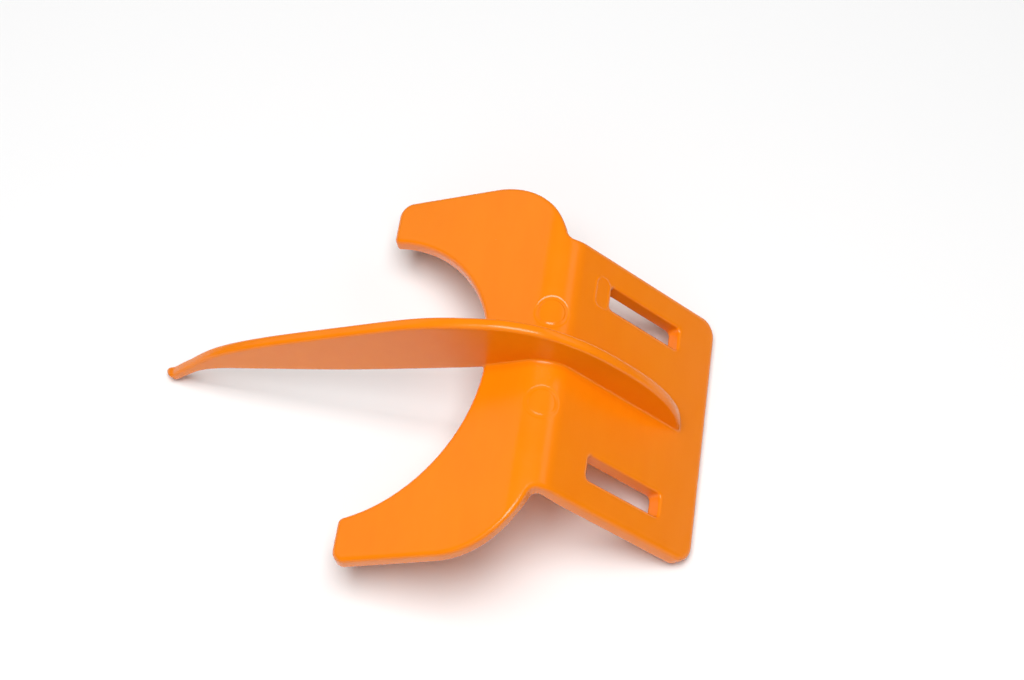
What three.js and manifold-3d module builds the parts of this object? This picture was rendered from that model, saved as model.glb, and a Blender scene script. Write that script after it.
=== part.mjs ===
// Peel ejector of a citrus juicing machine, moulded in one piece of orange plastic.
//
// A flat mounting plate with two slots turns through a bend into a flat two-pronged fork.
// A thin blade stands on the middle of both and runs on, free, between the prongs.
// The moulding is drawn here as its regions: plate, bend, web, two prongs, and the blade's
// root, tongue and tip. A narrow slit keeps neighbouring regions apart.
//
// Units are millimetres. In the moulding's own frame x runs along the mounting plate away
// from the ridge, y across it, and z out of the side that carries the blade. The ridge is
// the line where the outer faces of the plate and of the fork would meet without a bend.
// The last group lays the moulding on its plate's far edge and its blade's tip, z up.
import * as THREE from "three";
import { mergeVertices } from "three/addons/utils/BufferGeometryUtils.js";
import Module from "manifold-3d";

const wasm = await Module();
wasm.setup();

// Driving dimensions
const wall = 4;
const edgeRadius = 1;
const slit = 0.3;

const plateLength = 51.2;
const plateHalfWidth = 32.3;
const plateCornerRadius = 4.6;

const slotLength = 23.6;
const slotWidth = 6.1;
const slotCornerRadius = 1;
const slotStart = 15.5;
const slotOffset = 22.15;

const bendAngle = THREE.MathUtils.degToRad(70);
const bendOuterRadius = 9;
const notchRadius = 1.5;

const forkLength = 49;
const forkHalfWidth = 48.35;
const shoulderRadius = 22.5;
const shoulderDepth = 22;
const bayRadius = 37.9;
const bayDepth = 55.2;
const prongOuterCorner = 3.5;
const prongInnerCorner = 2;
const webHalfWidth = 14;
const drawLean = Math.tan(THREE.MathUtils.degToRad(20));

const bladeThickness = 2.8;
const bladeEdgeRadius = 0.7;
const tipRadius = 1;
const tipLength = 12;

const arcSteps = 6;
const bevelSteps = 3;
const bendSteps = 10;
const splineSteps = 3;

// Lengths that follow from them
const bendReach = bendOuterRadius * Math.tan(bendAngle / 2);
const forkStart = bendReach + slit;
const shoulderCentre = forkHalfWidth - shoulderRadius;

// The blade's edges as seen from the side, in the plane of x and z
const crestPoints = [
  [43.3, -1.4],
  [41.2, 2],
  [36.1, 5.3],
  [29.8, 7.9],
  [21.9, 9.4],
  [12, 9.7],
  [3.2, 8.9],
  [-5.6, 6.2],
  [-12.2, 2.1],
  [-17.8, -3.6],
  [-26.2, -16.1],
  [-34.1, -35.6],
  [-41.7, -56.3],
  [-45, -69.8],
  [-45.2, -81],
];
const keelPoints = [
  [-42.5, -84],
  [-41.9, -79],
  [-39.6, -73.4],
  [-34.1, -65.1],
  [-21.6, -46.1],
  [-8.9, -24.4],
  [-4.1, -15.7],
];
const tipCentre = new THREE.Vector2(-43.9, -90);

const plastic = (shade) =>
  new THREE.MeshStandardMaterial({ color: shade, roughness: 0.38, metalness: 0 });

// A closed three.js geometry as a solid that can be joined and cut
function solid(geometry) {
  const bare = geometry.clone();
  bare.deleteAttribute("normal");
  bare.deleteAttribute("uv");
  const merged = mergeVertices(bare, 1e-4);
  return new wasm.Manifold(
    new wasm.Mesh({
      numProp: 3,
      vertProperties: new Float32Array(merged.attributes.position.array),
      triVerts: new Uint32Array(merged.index.array),
    }),
  );
}

// A solid back as a three.js geometry
function geometryOf(body) {
  const mesh = body.getMesh();
  const geometry = new THREE.BufferGeometry();
  geometry.setAttribute("position", new THREE.BufferAttribute(mesh.vertProperties, 3));
  geometry.setIndex(new THREE.BufferAttribute(mesh.triVerts, 1));
  geometry.computeVertexNormals();
  return geometry;
}

// A block between two corners
function block(low, high) {
  const size = new THREE.Vector3().subVectors(high, low);
  const middle = new THREE.Vector3().addVectors(low, high).multiplyScalar(0.5);
  const box = new THREE.BoxGeometry(size.x, size.y, size.z);
  return solid(box.translate(middle.x, middle.y, middle.z));
}

// An outline extruded to a thickness, with rounded edges on both faces
function roundedSheet(shape, thickness, radius, steps) {
  const sheet = new THREE.ExtrudeGeometry(shape, {
    depth: thickness - 2 * radius,
    bevelThickness: radius,
    bevelSize: radius,
    bevelOffset: -radius,
    bevelSegments: bevelSteps,
    curveSegments: steps,
  });
  return sheet.translate(0, 0, radius - thickness);
}

// One straight slot with small corner radii, as a hole in the plate's outline
function slotOutline(centreY) {
  const hole = new THREE.Path();
  const r = slotCornerRadius;
  const x0 = slotStart + r;
  const x1 = slotStart + slotLength - r;
  const y0 = centreY - slotWidth / 2 + r;
  const y1 = centreY + slotWidth / 2 - r;
  hole.absarc(x0, y0, r, 1.5 * Math.PI, Math.PI, true);
  hole.absarc(x0, y1, r, Math.PI, Math.PI / 2, true);
  hole.absarc(x1, y1, r, Math.PI / 2, 0, true);
  hole.absarc(x1, y0, r, 0, -Math.PI / 2, true);
  hole.closePath();
  return hole;
}

// Mounting plate: flat, slotted twice, cut off square where the bend begins
function mountingPlate() {
  const shape = new THREE.Shape();
  const r = plateCornerRadius;
  shape.moveTo(-plateHalfWidth, -plateHalfWidth);
  shape.lineTo(plateLength - r, -plateHalfWidth);
  shape.absarc(plateLength - r, r - plateHalfWidth, r, -Math.PI / 2, 0, false);
  shape.absarc(plateLength - r, plateHalfWidth - r, r, 0, Math.PI / 2, false);
  shape.lineTo(-plateHalfWidth, plateHalfWidth);
  shape.closePath();
  shape.holes.push(slotOutline(slotOffset), slotOutline(-slotOffset));
  const sheet = solid(roundedSheet(shape, wall, edgeRadius, arcSteps));
  const low = new THREE.Vector3(-100, -100, -100);
  const high = new THREE.Vector3(bendReach + slit, 100, 100);
  return geometryOf(sheet.subtract(block(low, high)));
}

// Half the moulding's width at a distance down the fork from the ridge
function halfWidthAt(distance) {
  const notchX = plateHalfWidth + notchRadius;
  const reach = shoulderRadius + notchRadius;
  const notchDepth = shoulderDepth - Math.sqrt(reach ** 2 - (notchX - shoulderCentre) ** 2);
  const notchEnd = notchDepth + ((shoulderDepth - notchDepth) * notchRadius) / reach;
  if (distance <= notchDepth) {
    return plateHalfWidth;
  }
  if (distance <= notchEnd) {
    return notchX - Math.sqrt(notchRadius ** 2 - (distance - notchDepth) ** 2);
  }
  return shoulderCentre + Math.sqrt(shoulderRadius ** 2 - (shoulderDepth - distance) ** 2);
}

// Bend: a rounded bar swept round the bend's axis, widened to the fork's shoulders
function bend() {
  const half = plateHalfWidth;
  const r = edgeRadius;
  const section = new THREE.Shape();
  section.absarc(half - r, r - wall, r, -Math.PI / 2, 0, false);
  section.absarc(half - r, -r, r, 0, Math.PI / 2, false);
  section.absarc(r - half, -r, r, Math.PI / 2, Math.PI, false);
  section.absarc(r - half, r - wall, r, Math.PI, 1.5 * Math.PI, false);
  section.closePath();
  const bar = new THREE.ExtrudeGeometry(section, {
    depth: 1,
    steps: bendSteps,
    bevelEnabled: false,
    curveSegments: bevelSteps,
  });
  const place = bar.attributes.position;
  for (let i = 0; i < place.count; i += 1) {
    const turn = (1 - place.getZ(i)) * bendAngle;
    const radius = bendOuterRadius + place.getY(i);
    const x = bendReach - radius * Math.sin(turn);
    const z = radius * Math.cos(turn) - bendOuterRadius;
    const along = -x * Math.cos(bendAngle) - z * Math.sin(bendAngle);
    const out = z * Math.cos(bendAngle) - x * Math.sin(bendAngle);
    const wider = halfWidthAt(along + drawLean * out) - half;
    const across = place.getX(i);
    place.setXYZ(i, x, across + Math.sign(across) * wider, z);
  }
  return geometryOf(solid(bar));
}

// The whole fork, drawn with x across it and y down it from the ridge. Its edges lean with
// the direction in which the mould opens.
function wholeFork() {
  const tip = forkLength;
  const inner = prongInnerCorner;
  const outer = prongOuterCorner;
  const bayReach = bayRadius + inner;
  const innerY = tip - inner;
  const innerX = Math.sqrt(bayReach ** 2 - (bayDepth - innerY) ** 2);
  const bayTurn = Math.atan2(bayDepth - innerY, innerX);
  const shape = new THREE.Shape();
  const topX = halfWidthAt(0.5);
  const topTurn = Math.atan2(0.5 - shoulderDepth, topX - shoulderCentre);
  shape.moveTo(-topX, 0.5);
  shape.lineTo(topX, 0.5);
  shape.absarc(shoulderCentre, shoulderDepth, shoulderRadius, topTurn, 0, false);
  shape.absarc(forkHalfWidth - outer, tip - outer, outer, 0, Math.PI / 2, false);
  shape.absarc(innerX, innerY, inner, Math.PI / 2, Math.PI - bayTurn, false);
  shape.absarc(0, bayDepth, bayRadius, -bayTurn, -Math.PI / 2, true);
  shape.absarc(0, bayDepth, bayRadius, -Math.PI / 2, bayTurn - Math.PI, true);
  shape.absarc(-innerX, innerY, inner, bayTurn, Math.PI / 2, false);
  shape.absarc(outer - forkHalfWidth, tip - outer, outer, Math.PI / 2, Math.PI, false);
  shape.absarc(-shoulderCentre, shoulderDepth, shoulderRadius, Math.PI, Math.PI - topTurn, false);
  shape.closePath();
  const lean = new THREE.Matrix4().makeShear(0, 0, 0, 0, 0, -drawLean);
  return solid(roundedSheet(shape, wall, edgeRadius, arcSteps).applyMatrix4(lean));
}

// The fork's middle, or the prong on one side of it
function forkRegion(fromX, toX) {
  const low = new THREE.Vector3(fromX, forkStart, -100);
  const high = new THREE.Vector3(toX, 100, 100);
  return geometryOf(wholeFork().intersect(block(low, high)));
}

// The blade as a whole, drawn in the plane of x and z and rounded on its edges, with what
// stands on the plate, the bend and the fork cut to them
function wholeBlade() {
  const points = (list) => list.map(([x, z]) => new THREE.Vector2(x, z));
  const shape = new THREE.Shape();
  const crest = points(crestPoints);
  const keel = points(keelPoints);
  shape.moveTo(crest[0].x, crest[0].y);
  shape.splineThru(crest.slice(1));
  shape.absarc(tipCentre.x, tipCentre.y, tipRadius, Math.PI, 2 * Math.PI, false);
  shape.lineTo(keel[0].x, keel[0].y);
  shape.splineThru(keel.slice(1));
  shape.lineTo(2, -4);
  shape.closePath();
  const body = roundedSheet(shape, bladeThickness, bladeEdgeRadius, splineSteps);
  return solid(body.translate(0, 0, bladeThickness / 2));
}

// What the blade stands on, grown by the slit: everything under the outer faces. It ends in
// the gap between the blade's root and tongue, clear of the planes that bound those two.
function bladeSeat() {
  const seat = new THREE.Shape();
  const radius = bendOuterRadius + slit;
  const foot = new THREE.Vector2(-Math.cos(bendAngle), -Math.sin(bendAngle));
  const out = new THREE.Vector2(-Math.sin(bendAngle), Math.cos(bendAngle));
  const bayEdge = bayDepth - bayRadius;
  const end = foot.clone().multiplyScalar(bayEdge + 1.5 * slit).addScaledVector(out, slit);
  seat.moveTo(100, slit);
  seat.lineTo(bendReach, slit);
  seat.absarc(bendReach, -bendOuterRadius, radius, Math.PI / 2, Math.PI / 2 + bendAngle, false);
  seat.lineTo(end.x, end.y);
  seat.lineTo(end.x - 30 * out.x, end.y - 30 * out.y);
  seat.lineTo(100, -30);
  seat.closePath();
  const body = new THREE.ExtrudeGeometry(seat, {
    depth: 20,
    bevelEnabled: false,
    curveSegments: arcSteps,
  });
  return solid(body.translate(0, 0, -10));
}

// One stretch of the blade, between two distances down the fork from the ridge
function bladeRegion(fromDistance, toDistance) {
  const length = toDistance - fromDistance;
  const box = new THREE.BoxGeometry(length, 200, 20);
  box.translate(fromDistance + length / 2, 0, 0);
  box.rotateZ(Math.PI + bendAngle);
  return geometryOf(wholeBlade().subtract(bladeSeat()).intersect(solid(box)));
}

function part(name, geometry, shade) {
  const mesh = new THREE.Mesh(geometry, plastic(shade));
  mesh.name = name;
  return mesh;
}

// The fork's own frame: x across it, y down it, z out of its outer face
const fork = new THREE.Group();
const across = new THREE.Vector3(0, 1, 0);
const down = new THREE.Vector3(-Math.cos(bendAngle), 0, -Math.sin(bendAngle));
const out = new THREE.Vector3(-Math.sin(bendAngle), 0, Math.cos(bendAngle));
fork.quaternion.setFromRotationMatrix(new THREE.Matrix4().makeBasis(across, down, out));
const webEdge = webHalfWidth - slit / 2;
const prongEdge = webHalfWidth + slit / 2;
fork.add(part("fork_web", forkRegion(-webEdge, webEdge), "#f68b22"));
fork.add(part("prong_left", forkRegion(prongEdge, 100), "#f68b22"));
fork.add(part("prong_right", forkRegion(-100, -prongEdge), "#f68b22"));

// The blade's own frame: x as the plate's, y out of the plate
const blade = new THREE.Group();
blade.rotation.x = Math.PI / 2;
const tongueStart = bayDepth - bayRadius + slit;
const tipReach = -tipCentre.x * Math.cos(bendAngle) - tipCentre.y * Math.sin(bendAngle);
const tipStart = tipReach + tipRadius - tipLength;
blade.add(part("blade_root", bladeRegion(-100, tongueStart), "#e25f00"));
blade.add(part("blade_tongue", bladeRegion(tongueStart + slit, tipStart), "#e07030"));
blade.add(part("blade_tip", bladeRegion(tipStart + slit, 200), "#e07030"));

// The moulding at rest: tilted until the plate's far edge and the blade's tip are level,
// then set down with the middle of its footprint at the origin
const moulding = new THREE.Group();
moulding.add(part("mounting_plate", mountingPlate(), "#f78200"));
moulding.add(part("bend", bend(), "#ff9810"));
moulding.add(fork, blade);
const farEdge = new THREE.Vector2(plateLength - edgeRadius, edgeRadius - wall);
moulding.rotation.y = Math.atan2(farEdge.y - tipCentre.y, farEdge.x - tipCentre.x);

const model = new THREE.Group();
model.add(moulding);
const bounds = new THREE.Box3().setFromObject(model, true);
moulding.position.set(-(bounds.min.x + bounds.max.x) / 2, 0, -bounds.min.z);

export default model;
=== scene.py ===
"""Looks of the peel ejector: one continuous orange moulding built round its CAD regions.

The moulding is described as a signed distance in millimetres, in the moulding's own frame:
x along the mounting plate away from the ridge, y across it, z out of the face that carries
the blade. The ridge is where the outer faces of plate and fork would meet without a bend.
Its surface is then meshed, refined at the moulding marks, and laid down as the CAD lies.
"""

import math

import bmesh
import bpy
import numpy as np
from mathutils import Matrix, Vector

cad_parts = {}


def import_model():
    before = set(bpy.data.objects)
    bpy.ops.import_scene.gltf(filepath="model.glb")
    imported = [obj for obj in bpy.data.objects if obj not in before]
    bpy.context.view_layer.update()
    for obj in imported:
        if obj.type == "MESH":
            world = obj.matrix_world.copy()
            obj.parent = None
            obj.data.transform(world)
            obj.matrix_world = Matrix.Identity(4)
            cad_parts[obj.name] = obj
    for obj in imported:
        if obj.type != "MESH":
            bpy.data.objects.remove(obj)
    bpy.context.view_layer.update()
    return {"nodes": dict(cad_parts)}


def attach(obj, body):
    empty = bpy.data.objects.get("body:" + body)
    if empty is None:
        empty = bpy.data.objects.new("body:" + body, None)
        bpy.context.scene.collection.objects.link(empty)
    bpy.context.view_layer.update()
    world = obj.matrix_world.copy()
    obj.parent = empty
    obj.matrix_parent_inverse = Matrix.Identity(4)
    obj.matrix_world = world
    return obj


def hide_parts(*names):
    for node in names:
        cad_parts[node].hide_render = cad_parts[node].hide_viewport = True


# ---------------------------------------------------------------- dimensions, millimetres

WALL = 4.0
EDGE = 1.0

PLATE_LENGTH = 51.2
PLATE_HALF = 32.3
PLATE_CORNER = 4.4
# The plate's two sides lean out towards its inner face, by this much per millimetre of depth,
# growing from nothing over a run beyond the bend
PLATE_DRAFT = 0.09
DRAFT_RUN = 6.0

SLOT_CENTRE = (27.3, 22.15)
SLOT_HALF = (11.8, 3.05)
SLOT_CORNER = 1.1
SLOT_EDGE = 0.2

BEND = math.radians(70)
BEND_RADIUS = 9.0
BEND_REACH = BEND_RADIUS * math.tan(BEND / 2)
NOTCH = 1.5

FORK_LENGTH = 49.0
FORK_HALF = 48.35
SHOULDER = 22.5
SHOULDER_DEPTH = 22.0
BAY_RADIUS = 37.9
BAY_DEPTH = 55.2
PRONG_OUTER = 3.5
PRONG_INNER = 1.2
DRAW_LEAN = math.tan(math.radians(20))

BLADE_THICKNESS = 2.8
BLADE_EDGE = 0.9
BLADE_FILLET = 0.45
STAND_POINT = (-43.9, -90.0)
STAND_RADIUS = 1.0
CREST = (
    (43.1, -1.0), (40.8, 2.0), (36.1, 5.3), (29.8, 7.9), (21.9, 9.4), (12, 9.7), (3.2, 8.9),
    (-5.6, 6.2), (-12.2, 2.1), (-17.8, -3.6), (-26.2, -16.1), (-34.1, -35.6), (-41.7, -56.3),
    (-45.0, -69.8), (-45.1, -81), (-44.8, -87.4),
)
# The tip flares a little towards the crest and is cut off obliquely, its left side longer
TIP = (
    (-45.25, -89.4), (-45.0, -90.4), (-44.5, -90.9), (-43.8, -91.0), (-43.1, -90.6),
    (-42.8, -89.8),
)
TIP_CUT_SLOPE = 0.9
TIP_CUT_PLACE = 89.8
TIP_CUT_EDGE = 0.25
TIP_EDGE = 0.35
TIP_START = -80.0
FOOT_CORNER = (2.0, -3.0)
KEEL = (
    (-42.5, -84), (-41.9, -79), (-39.6, -73.4), (-34.1, -65.1), (-21.6, -46.1),
    (-8.9, -24.4), (-4.1, -15.7),
)

# Round ejector-pin marks, each a shallow ring-shaped groove: distance along the outer face from
# the plate's flat, place across, middle radius, half width and height
PIN_MARKS = (
    (-6.7, 11.5, 3.65, 0.5, -0.15),
    (-5.8, -11.8, 3.65, 0.5, -0.06),
)
# A faint raised outline beside the left slot: place along and across, half sizes, corner,
# half width of its line and height
INSERT_MARK = (12.6 - BEND_REACH, 21.9, 2.1, 4.1, 1.9, 0.22, 0.09)
SOFTNESS = 0.15
MARK_MARGIN = 0.35
MARK_ROUNDS = 2

# Spacing of the grid, and the corners of the box that it fills
GRID = 0.45
SIDE_MARGIN = 2.1
BOX_LOW = (-49.0, -FORK_HALF - SIDE_MARGIN, -94.0)
BOX_HIGH = (PLATE_LENGTH + 2, FORK_HALF + SIDE_MARGIN, 14.0)
MM = 0.001

# ---------------------------------------------------------------- looks, metres and degrees

# Colours are linear red, green, blue and alpha
PIGMENT = (0.89, 0.218, 0.0005, 1)
PIGMENT_DEEP = (0.88, 0.208, 0.0005, 1)
PIGMENT_PALE = (0.91, 0.25, 0.003, 1)
SATIN_ROUGHNESS = (0.19, 0.25)
SPECULAR_LEVEL = 0.4
STREAK_SHARE = 0.35
SCUFF_SHARE = 0.14
SCUFF_ROUGHNESS = 0.04
PEEL_STRENGTH = 0.35
PEEL_DEPTH = 0.00002

# Sizes of the noise's features
CLOUD_SIZE = 0.016
FLOW_SIZE = 0.004
SCUFF_SIZE = 0.0009
SATIN_SIZE = 0.006
PEEL_SIZE = 0.0011

# Azimuth, elevation and roll, then lens and sensor in millimetres
CAMERA_ANGLES = (7.97, 60.99, 0.23)
CAMERA_TARGET = (0.0184, 0.0085, 0.025)
CAMERA_DISTANCE = 0.45
LENS = 67.8
SENSOR = 36
STAGE_MIDDLE = (0, 0, 0.02)
FLOOR_SHADE = 0.86
FLOOR_HALF = 3.0
FLOOR_ROUGHNESS = 0.9
FLOOR_SPECULAR = 0.2
ROOM_GLOW = 0.1

# Lights: name, azimuth, elevation, distance, width, height and radiance
SOFTBOXES = (
    ("overhead", 270, 82, 0.9, 0.6, 0.6, 8.6),
    ("front", 265, 38, 1.3, 1.2, 0.8, 0.6),
    ("left_panel", 147, 27, 1.2, 0.9, 0.5, 0.46),
    ("right_panel", 39, 41, 1.0, 0.6, 0.22, 0.95),
)

# ---------------------------------------------------------------- signed distances


def hypot(a, b):
    return np.sqrt(a * a + b * b)


def common(a, b, radius):
    """What two shapes share, with the edge between them rounded to a radius."""
    p, q = a + radius, b + radius
    return np.minimum(np.maximum(p, q), 0) + hypot(np.maximum(p, 0), np.maximum(q, 0)) - radius


def joined(a, b, radius):
    """Two shapes together, with a fillet of a radius between them."""
    p, q = np.maximum(radius - a, 0), np.maximum(radius - b, 0)
    return np.maximum(radius, np.minimum(a, b)) - hypot(p, q)


def rounded_box(p, q, half_p, half_q, radius):
    p, q = np.abs(p) - half_p + radius, np.abs(q) - half_q + radius
    return np.minimum(np.maximum(p, q), 0) + hypot(np.maximum(p, 0), np.maximum(q, 0)) - radius


def fork_coordinates(x, z):
    """Distance down the fork from the ridge, and height above its outer face."""
    down = -x * math.cos(BEND) - z * math.sin(BEND)
    out = z * math.cos(BEND) - x * math.sin(BEND)
    return down, out


def outline(y, down):
    """The moulding's outline along the mould's opening direction: a strip and a fork."""
    across = np.abs(y)
    middle = (FORK_LENGTH + SHOULDER_DEPTH - SHOULDER) / 2
    half = (FORK_LENGTH - SHOULDER_DEPTH + SHOULDER) / 2
    corner = np.where(down < middle, SHOULDER, PRONG_OUTER)
    fork = rounded_box(across, down - middle, FORK_HALF, half, corner)
    strip = np.maximum(across - PLATE_HALF, down - SHOULDER_DEPTH / 2)
    bay = BAY_RADIUS - hypot(across, down - BAY_DEPTH)
    return common(joined(fork, strip, NOTCH), bay, PRONG_INNER)


def along_face(x, z):
    """Distance along the outer face from the plate's flat, negative into bend and fork."""
    down, _ = fork_coordinates(x, z)
    turn = np.arctan2(BEND_REACH - x, z + BEND_RADIUS)
    on_bend = -BEND_RADIUS * np.clip(turn, 0, BEND)
    on_fork = -BEND_RADIUS * BEND - (down - BEND_REACH)
    face = np.where((down > BEND_REACH) & (x < BEND_REACH), on_fork, on_bend)
    return np.where(x >= BEND_REACH, x - BEND_REACH, face)


def band(distance, half_width):
    """One inside a narrow band, nought outside it, with a soft step between."""
    return 1 / (1 + np.exp(-(half_width - np.abs(distance)) / (SOFTNESS / 2)))


def raised_marks(x, y, z):
    """How far the moulding marks stand above the outer face, or below it where negative."""
    along = along_face(x, z)
    raised = np.zeros_like(along)
    for place, across, radius, half_width, height in PIN_MARKS:
        ring = hypot(along - place, y - across) - radius
        raised = raised + height * band(ring, half_width)
    place, across, half_along, half_across, corner, half_width, height = INSERT_MARK
    line = rounded_box(along - place, y - across, half_along, half_across, corner)
    return raised + height * band(line, half_width)


def wall(x, y, z):
    """Distance to the bent wall's two faces."""
    down, out = fork_coordinates(x, z)
    marks = raised_marks(x, y, z)
    far = 1e3
    plate = np.where(x >= BEND_REACH, np.maximum(z - marks, -WALL - z), far)
    fork = np.where(down >= BEND_REACH, np.maximum(out - marks, -WALL - out), far)
    depth = hypot(x - BEND_REACH, z + BEND_RADIUS) - BEND_RADIUS
    wedge = (x < BEND_REACH) & (down < BEND_REACH)
    bend = np.where(wedge, np.maximum(depth - marks, -WALL - depth), far)
    return np.minimum(np.minimum(plate, fork), bend)


def sheet(x, y, z):
    """Mounting plate, bend and fork as one bent sheet with rounded edges and two slots."""
    down, out = fork_coordinates(x, z)
    flat = np.clip((x - BEND_REACH) / DRAFT_RUN, 0, 1)
    across = np.abs(y) + PLATE_DRAFT * flat * np.minimum(z, 0)
    edge = outline(across, down + DRAW_LEAN * out)
    far_end = rounded_box(x, across, PLATE_LENGTH, PLATE_HALF, PLATE_CORNER)
    edge = np.where(x > BEND_REACH, np.maximum(edge, far_end), edge)
    body = common(edge, wall(x, y, z), EDGE)
    slot = rounded_box(x - SLOT_CENTRE[0], np.abs(y) - SLOT_CENTRE[1], *SLOT_HALF, SLOT_CORNER)
    return common(body, -slot, SLOT_EDGE)


def spline(points, step=0.5):
    """A smooth curve through points, as a polyline of short steps (Catmull-Rom)."""
    p = np.array(points, float)
    p = np.vstack([2 * p[0] - p[1], p, 2 * p[-1] - p[-2]])
    out = []
    for a, b, c, d in zip(p[:-3], p[1:-2], p[2:-1], p[3:]):
        count = max(2, int(np.linalg.norm(c - b) / step))
        for t in np.arange(count) / count:
            curved = 2 * b + (c - a) * t + (2 * a - 5 * b + 4 * c - d) * t * t
            out.append(0.5 * (curved + (3 * b - a - 3 * c + d) * t ** 3))
    out.append(p[-2])
    return np.array(out)


def blade_profile():
    """The blade's closed outline in the plane of x and z."""
    return np.vstack([spline(CREST), spline(TIP), spline(KEEL), [FOOT_CORNER]])


PROFILE = blade_profile()


def inside_profile(p, q):
    """Signed distance in a plane to the blade's outline."""
    shape = np.shape(p)
    p, q = np.ravel(p), np.ravel(q)
    best = np.full(p.shape, 1e9)
    inside = np.zeros(p.shape, bool)
    for (ax, az), (bx, bz) in zip(PROFILE, np.roll(PROFILE, -1, axis=0)):
        ex, ez = bx - ax, bz - az
        share = np.clip(((p - ax) * ex + (q - az) * ez) / (ex * ex + ez * ez + 1e-12), 0, 1)
        dx, dz = p - ax - share * ex, q - az - share * ez
        best = np.minimum(best, dx * dx + dz * dz)
        if az != bz:
            crosses = ((az > q) != (bz > q)) & (p < ax + ex * (q - az) / ez)
            inside ^= crosses
    distance = np.sqrt(best)
    return np.where(inside, -distance, distance).reshape(shape)


def blade(profile, y, z):
    """The blade, from the distance to its profile: rounded edges, sharper at the cut tip."""
    share = np.clip((TIP_START - z) / (TIP_START + TIP_CUT_PLACE), 0, 1)
    edge = BLADE_EDGE + (TIP_EDGE - BLADE_EDGE) * share
    body = common(profile, np.abs(y) - BLADE_THICKNESS / 2, edge)
    cut = (-z - TIP_CUT_SLOPE * y - TIP_CUT_PLACE) / math.hypot(1, TIP_CUT_SLOPE)
    return common(body, cut, TIP_CUT_EDGE)


def moulding(x, y, z, profile=None):
    """Signed distance to the whole moulding. A known profile distance may be passed in."""
    body = sheet(x, y, z)
    near = np.abs(y) < BLADE_THICKNESS / 2 + 3 * GRID
    if not near.any():
        return body
    known = inside_profile(x[near], z[near]) if profile is None else profile[near]
    body[near] = joined(body[near], blade(known, y[near], z[near]), BLADE_FILLET)
    return body


# ---------------------------------------------------------------- surface


def distances_on_grid(low, counts):
    """The moulding's distance at every point of a grid, slice by slice across it."""
    xs, ys, zs = (low[i] + GRID * np.arange(counts[i]) for i in range(3))
    x, z = np.meshgrid(xs, zs, indexing="ij")
    profile = inside_profile(x, z)
    field = np.empty(counts, np.float32)
    for j, y in enumerate(ys):
        field[:, j, :] = moulding(x, np.full_like(x, y), z, profile)
    return field


def surface_net(field, low):
    """One vertex in each cell that the surface crosses, one quad on each crossed grid edge."""
    inside = field < 0
    nx, ny, nz = (n - 1 for n in field.shape)
    total = np.zeros((nx, ny, nz, 3), np.float32)
    count = np.zeros((nx, ny, nz), np.int8)
    corner = [(a, b, c) for a in (0, 1) for b in (0, 1) for c in (0, 1)]

    def part(array, shift):
        return array[shift[0]:shift[0] + nx, shift[1]:shift[1] + ny, shift[2]:shift[2] + nz]

    for start in corner:
        for axis in range(3):
            if start[axis]:
                continue
            end = tuple(v + (i == axis) for i, v in enumerate(start))
            f0, f1 = part(field, start), part(field, end)
            cross = part(inside, start) != part(inside, end)
            share = (f0 / np.where(cross, f0 - f1, 1))[cross]
            for i in range(3):
                total[cross, i] += start[i] + (share if i == axis else 0)
            count[cross] += 1
    active = count > 0
    number = np.full(active.shape, -1, np.int64)
    number[active] = np.arange(active.sum())
    cell = np.argwhere(active)
    points = low + GRID * (cell + total[active] / count[active][:, None])
    quads = []
    for axis in range(3):
        b, c = [i for i in range(3) if i != axis]
        first = [slice(None)] * 3
        second = [slice(None)] * 3
        first[axis], second[axis] = slice(0, -1), slice(1, None)
        start, end = inside[tuple(first)], inside[tuple(second)]
        cross = np.argwhere(start != end)
        cross = cross[(cross[:, b] > 0) & (cross[:, c] > 0)]
        leaving = start[tuple(cross.T)]
        ring = []
        for db, dc in ((1, 1), (0, 1), (0, 0), (1, 0)):
            near = cross.copy()
            near[:, b] -= db
            near[:, c] -= dc
            ring.append(number[tuple(near.T)])
        quad = np.stack(ring, 1)
        flip = leaving if axis == 1 else ~leaving
        quad[flip] = quad[flip][:, ::-1]
        quads.append(quad)
    return points, np.vstack(quads)


def slope(points):
    """Direction of steepest growth of the distance."""
    step = 0.02
    out = np.empty_like(points)
    for axis in range(3):
        shift = np.zeros(3)
        shift[axis] = step
        ahead, behind = points + shift, points - shift
        out[:, axis] = moulding(*ahead.T) - moulding(*behind.T)
    return out / np.maximum(np.linalg.norm(out, axis=1, keepdims=True), 1e-9)


def onto_surface(points, rounds=2):
    for _ in range(rounds):
        points = points - moulding(*points.T)[:, None] * slope(points)
    return points


def evened(points, faces, rounds=3):
    """Vertices spread more evenly over the surface, then set back onto it."""
    pairs = np.vstack([faces[:, [i, (i + 1) % 4]] for i in range(4)])
    for _ in range(rounds):
        total = np.zeros_like(points)
        weight = np.zeros(len(points))
        for a, b in ((0, 1), (1, 0)):
            np.add.at(total, pairs[:, a], points[pairs[:, b]])
            np.add.at(weight, pairs[:, a], 1)
        move = total / weight[:, None] - points
        normal = slope(points)
        move -= (move * normal).sum(1, keepdims=True) * normal
        points = onto_surface(points + 0.6 * move, 1)
    return points


def near_a_mark(x, y, z):
    """Whether a point of the outer face lies on or beside the line of a mark."""
    along = float(along_face(np.float64(x), np.float64(z)))
    for place, across, radius, half_width, _height in PIN_MARKS:
        if abs(math.hypot(along - place, y - across) - radius) < half_width + MARK_MARGIN:
            return on_outer_face(x, z)
    place, across, half_along, half_across, corner, half_width, _height = INSERT_MARK
    line = rounded_box(along - place, y - across, half_along, half_across, corner)
    return abs(line) < half_width + MARK_MARGIN and on_outer_face(x, z)


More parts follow.
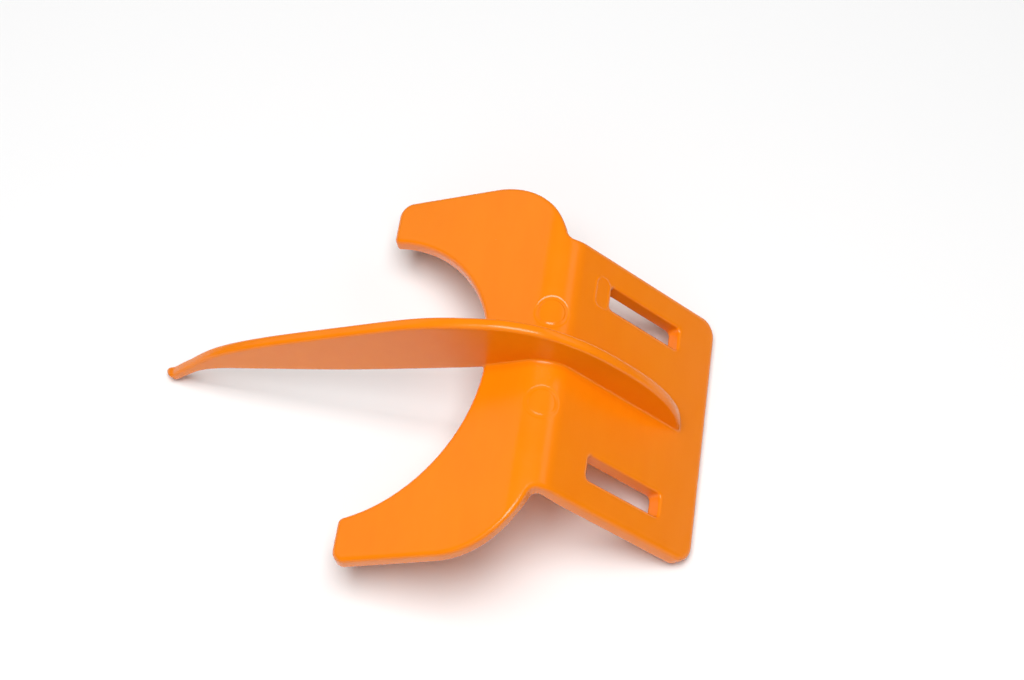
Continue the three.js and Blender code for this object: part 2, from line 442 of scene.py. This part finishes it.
def refine_marks(mesh):
    """More vertices where the narrow lines of the moulding marks run."""
    bm = bmesh.new()
    bm.from_mesh(mesh)
    for _ in range(MARK_ROUNDS):
        edges = set()
        for face in bm.faces:
            if near_a_mark(*face.calc_center_median()):
                edges.update(face.edges)
        bmesh.ops.subdivide_edges(bm, edges=list(edges), cuts=1, use_grid_fill=True)
    points = np.array([v.co[:] for v in bm.verts])
    for vert, place in zip(bm.verts, onto_surface(points, 2)):
        vert.co = place
    bm.to_mesh(mesh)
    bm.free()


def on_outer_face(x, z):
    down, out = fork_coordinates(x, z)
    if x >= BEND_REACH:
        return z > -WALL / 2
    if down >= BEND_REACH:
        return out > -WALL / 2
    return math.hypot(x - BEND_REACH, z + BEND_RADIUS) > BEND_RADIUS - WALL / 2


def rest_matrix():
    """From the moulding's frame in millimetres to the part's frame in metres, at rest."""
    far = (PLATE_LENGTH - EDGE, EDGE - WALL)
    tilt = math.atan2(far[1] - STAND_POINT[1], far[0] - STAND_POINT[0])
    turn = Matrix.Rotation(tilt, 4, "Y")
    lowest = (turn @ Vector((far[0], 0, far[1]))).z - EDGE
    ends = [(turn @ Vector((far[0], 0, z))).x + EDGE for z in (-EDGE, EDGE - WALL)]
    back = (turn @ Vector((STAND_POINT[0], 0, STAND_POINT[1]))).x - STAND_RADIUS
    middle = (max(ends) + back) / 2
    return Matrix.Scale(MM, 4) @ Matrix.Translation((-middle, 0, -lowest)) @ turn


def moulding_object():
    low, high = np.array(BOX_LOW), np.array(BOX_HIGH)
    counts = tuple(int(n) for n in np.ceil((high - low) / GRID) + 1)
    points, faces = surface_net(distances_on_grid(low, counts), low)
    points = evened(onto_surface(points.astype(float)), faces)
    mesh = bpy.data.meshes.new("peel_ejector_moulding")
    mesh.from_pydata(points.tolist(), [], faces.tolist())
    mesh.validate()
    refine_marks(mesh)
    mesh.transform(rest_matrix())
    mesh.update()
    mesh.shade_smooth()
    piece = bpy.data.objects.new("peel_ejector_moulding", mesh)
    bpy.context.collection.objects.link(piece)
    return piece


# ---------------------------------------------------------------- material


class Nodes:
    """A short way to add and link the nodes of one material."""

    def __init__(self, material):
        material.use_nodes = True
        self.tree = material.node_tree
        self.shader = self.tree.nodes["Principled BSDF"]
        self.place = self.add("ShaderNodeTexCoord").outputs["Object"]

    def add(self, kind, **settings):
        node = self.tree.nodes.new(kind)
        for name, value in settings.items():
            setattr(node, name, value)
        return node

    def link(self, source, socket):
        self.tree.links.new(source, socket)

    def noise(self, size, detail=3.0, stretch=(1, 1, 1)):
        """Noise whose features measure about so many metres."""
        mapping = self.add("ShaderNodeMapping")
        mapping.inputs["Scale"].default_value = [s / size for s in stretch]
        self.link(self.place, mapping.inputs["Vector"])
        node = self.add("ShaderNodeTexNoise")
        node.inputs["Scale"].default_value = 1.0
        node.inputs["Detail"].default_value = detail
        self.link(mapping.outputs["Vector"], node.inputs["Vector"])
        return node.outputs["Fac"]

    def spread(self, source, low, high, start=0.3, stop=0.7):
        """A value moved from one range to another."""
        node = self.add("ShaderNodeMapRange")
        node.inputs["From Min"].default_value = start
        node.inputs["From Max"].default_value = stop
        node.inputs["To Min"].default_value = low
        node.inputs["To Max"].default_value = high
        self.link(source, node.inputs["Value"])
        return node.outputs["Result"]

    def math(self, operation, first, second):
        node = self.add("ShaderNodeMath", operation=operation)
        for value, socket in ((first, node.inputs[0]), (second, node.inputs[1])):
            if isinstance(value, float):
                socket.default_value = value
            else:
                self.link(value, socket)
        return node.outputs["Value"]

    def mix(self, share, first, second):
        node = self.add("ShaderNodeMix", data_type="RGBA")
        self.link(share, node.inputs["Factor"])
        for value, socket in ((first, node.inputs["A"]), (second, node.inputs["B"])):
            if isinstance(value, tuple):
                socket.default_value = value
            else:
                self.link(value, socket)
        return node.outputs["Result"]


def orange_plastic():
    """Satin moulded plastic: slightly uneven pigment, orange-peel skin, fine rub marks."""
    material = bpy.data.materials.new("orange_plastic")
    nodes = Nodes(material)
    clouds = nodes.spread(nodes.noise(CLOUD_SIZE, 2.0), 0.0, 1.0)
    flow = nodes.spread(nodes.noise(FLOW_SIZE, 4.0, (1.0, 0.25, 1.0)), 0.0, 1.0)
    pigment = nodes.mix(clouds, PIGMENT_DEEP, PIGMENT)
    streaked = nodes.mix(nodes.math("MULTIPLY", flow, STREAK_SHARE), pigment, PIGMENT_PALE)
    rub_noise = nodes.noise(SCUFF_SIZE, 3.0, (0.05, 1.0, 0.4))
    rubs = nodes.spread(rub_noise, 0.0, 1.0, 0.62, 0.86)
    cross_noise = nodes.noise(SCUFF_SIZE, 3.0, (1.0, 0.06, 0.4))
    cross_rubs = nodes.spread(cross_noise, 0.0, 1.0, 0.64, 0.88)
    scuffs = nodes.math("MAXIMUM", rubs, cross_rubs)
    colour = nodes.mix(nodes.math("MULTIPLY", scuffs, SCUFF_SHARE), streaked, PIGMENT_PALE)
    nodes.link(colour, nodes.shader.inputs["Base Color"])
    satin = nodes.spread(nodes.noise(SATIN_SIZE, 3.0), *SATIN_ROUGHNESS)
    scuffed = nodes.math("MULTIPLY", scuffs, SCUFF_ROUGHNESS)
    roughness = nodes.math("ADD", satin, scuffed)
    nodes.link(roughness, nodes.shader.inputs["Roughness"])
    peel = nodes.noise(PEEL_SIZE, 2.0)
    bump = nodes.add("ShaderNodeBump")
    bump.inputs["Strength"].default_value = PEEL_STRENGTH
    bump.inputs["Distance"].default_value = PEEL_DEPTH
    nodes.link(peel, bump.inputs["Height"])
    nodes.link(bump.outputs["Normal"], nodes.shader.inputs["Normal"])
    nodes.shader.inputs["Specular IOR Level"].default_value = SPECULAR_LEVEL
    return material


# ---------------------------------------------------------------- stage


def stage_floor():
    """One large, plain, pale floor."""
    mesh = bpy.data.meshes.new("floor")
    half = FLOOR_HALF
    corners = [(-half, -half, 0), (half, -half, 0), (half, half, 0), (-half, half, 0)]
    mesh.from_pydata(corners, [], [(0, 1, 2, 3)])
    floor = bpy.data.objects.new("floor", mesh)
    bpy.context.collection.objects.link(floor)
    material = bpy.data.materials.new("pale_floor")
    material.use_nodes = True
    shader = material.node_tree.nodes["Principled BSDF"]
    shader.inputs["Base Color"].default_value = (FLOOR_SHADE, FLOOR_SHADE, FLOOR_SHADE, 1)
    shader.inputs["Roughness"].default_value = FLOOR_ROUGHNESS
    shader.inputs["Specular IOR Level"].default_value = FLOOR_SPECULAR
    mesh.materials.append(material)


def softbox(name, azimuth, elevation, distance, width, height, radiance):
    """A rectangular light that faces the object. Azimuth 0 is +X and 90 is +Y."""
    azimuth, elevation = math.radians(azimuth), math.radians(elevation)
    outward = Vector((
        math.cos(azimuth) * math.cos(elevation),
        math.sin(azimuth) * math.cos(elevation),
        math.sin(elevation),
    ))
    data = bpy.data.lights.new(name, "AREA")
    data.shape = "RECTANGLE"
    data.size = width
    data.size_y = height
    data.energy = radiance * math.pi * width * height
    lamp = bpy.data.objects.new(name, data)
    lamp.location = Vector(STAGE_MIDDLE) + outward * distance
    lamp.rotation_mode = "QUATERNION"
    lamp.rotation_quaternion = (-outward).to_track_quat("-Z", "Y")
    lamp.visible_camera = False
    bpy.context.collection.objects.link(lamp)


def studio():
    """A plain dim room, a softbox overhead, one behind the camera and two panels behind."""
    world = bpy.data.worlds.new("studio")
    world.use_nodes = True
    background = world.node_tree.nodes["Background"]
    background.inputs["Color"].default_value = (1, 1, 1, 1)
    background.inputs["Strength"].default_value = ROOM_GLOW
    bpy.context.scene.world = world
    for settings in SOFTBOXES:
        softbox(*settings)


def camera():
    data = bpy.data.cameras.new("camera")
    data.lens = LENS
    data.sensor_width = SENSOR
    seat = bpy.data.objects.new("camera", data)
    azimuth, elevation, roll = (math.radians(angle) for angle in CAMERA_ANGLES)
    back = Vector((
        math.sin(azimuth) * math.cos(elevation),
        -math.cos(azimuth) * math.cos(elevation),
        math.sin(elevation),
    ))
    seat.location = Vector(CAMERA_TARGET) + back * CAMERA_DISTANCE
    seat.rotation_mode = "QUATERNION"
    spin = Matrix.Rotation(roll, 3, "Z").to_quaternion()
    seat.rotation_quaternion = (-back).to_track_quat("-Z", "Y") @ spin
    data.clip_start = 0.01
    bpy.context.collection.objects.link(seat)
    bpy.context.scene.camera = seat


# ---------------------------------------------------------------- assembly


def main():
    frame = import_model()
    bpy.context.scene.view_settings.view_transform = "Standard"
    camera()
    piece = moulding_object()
    piece.data.materials.append(orange_plastic())
    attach(piece, "root")
    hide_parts(*sorted(frame["nodes"]))
    stage_floor()
    studio()


main()
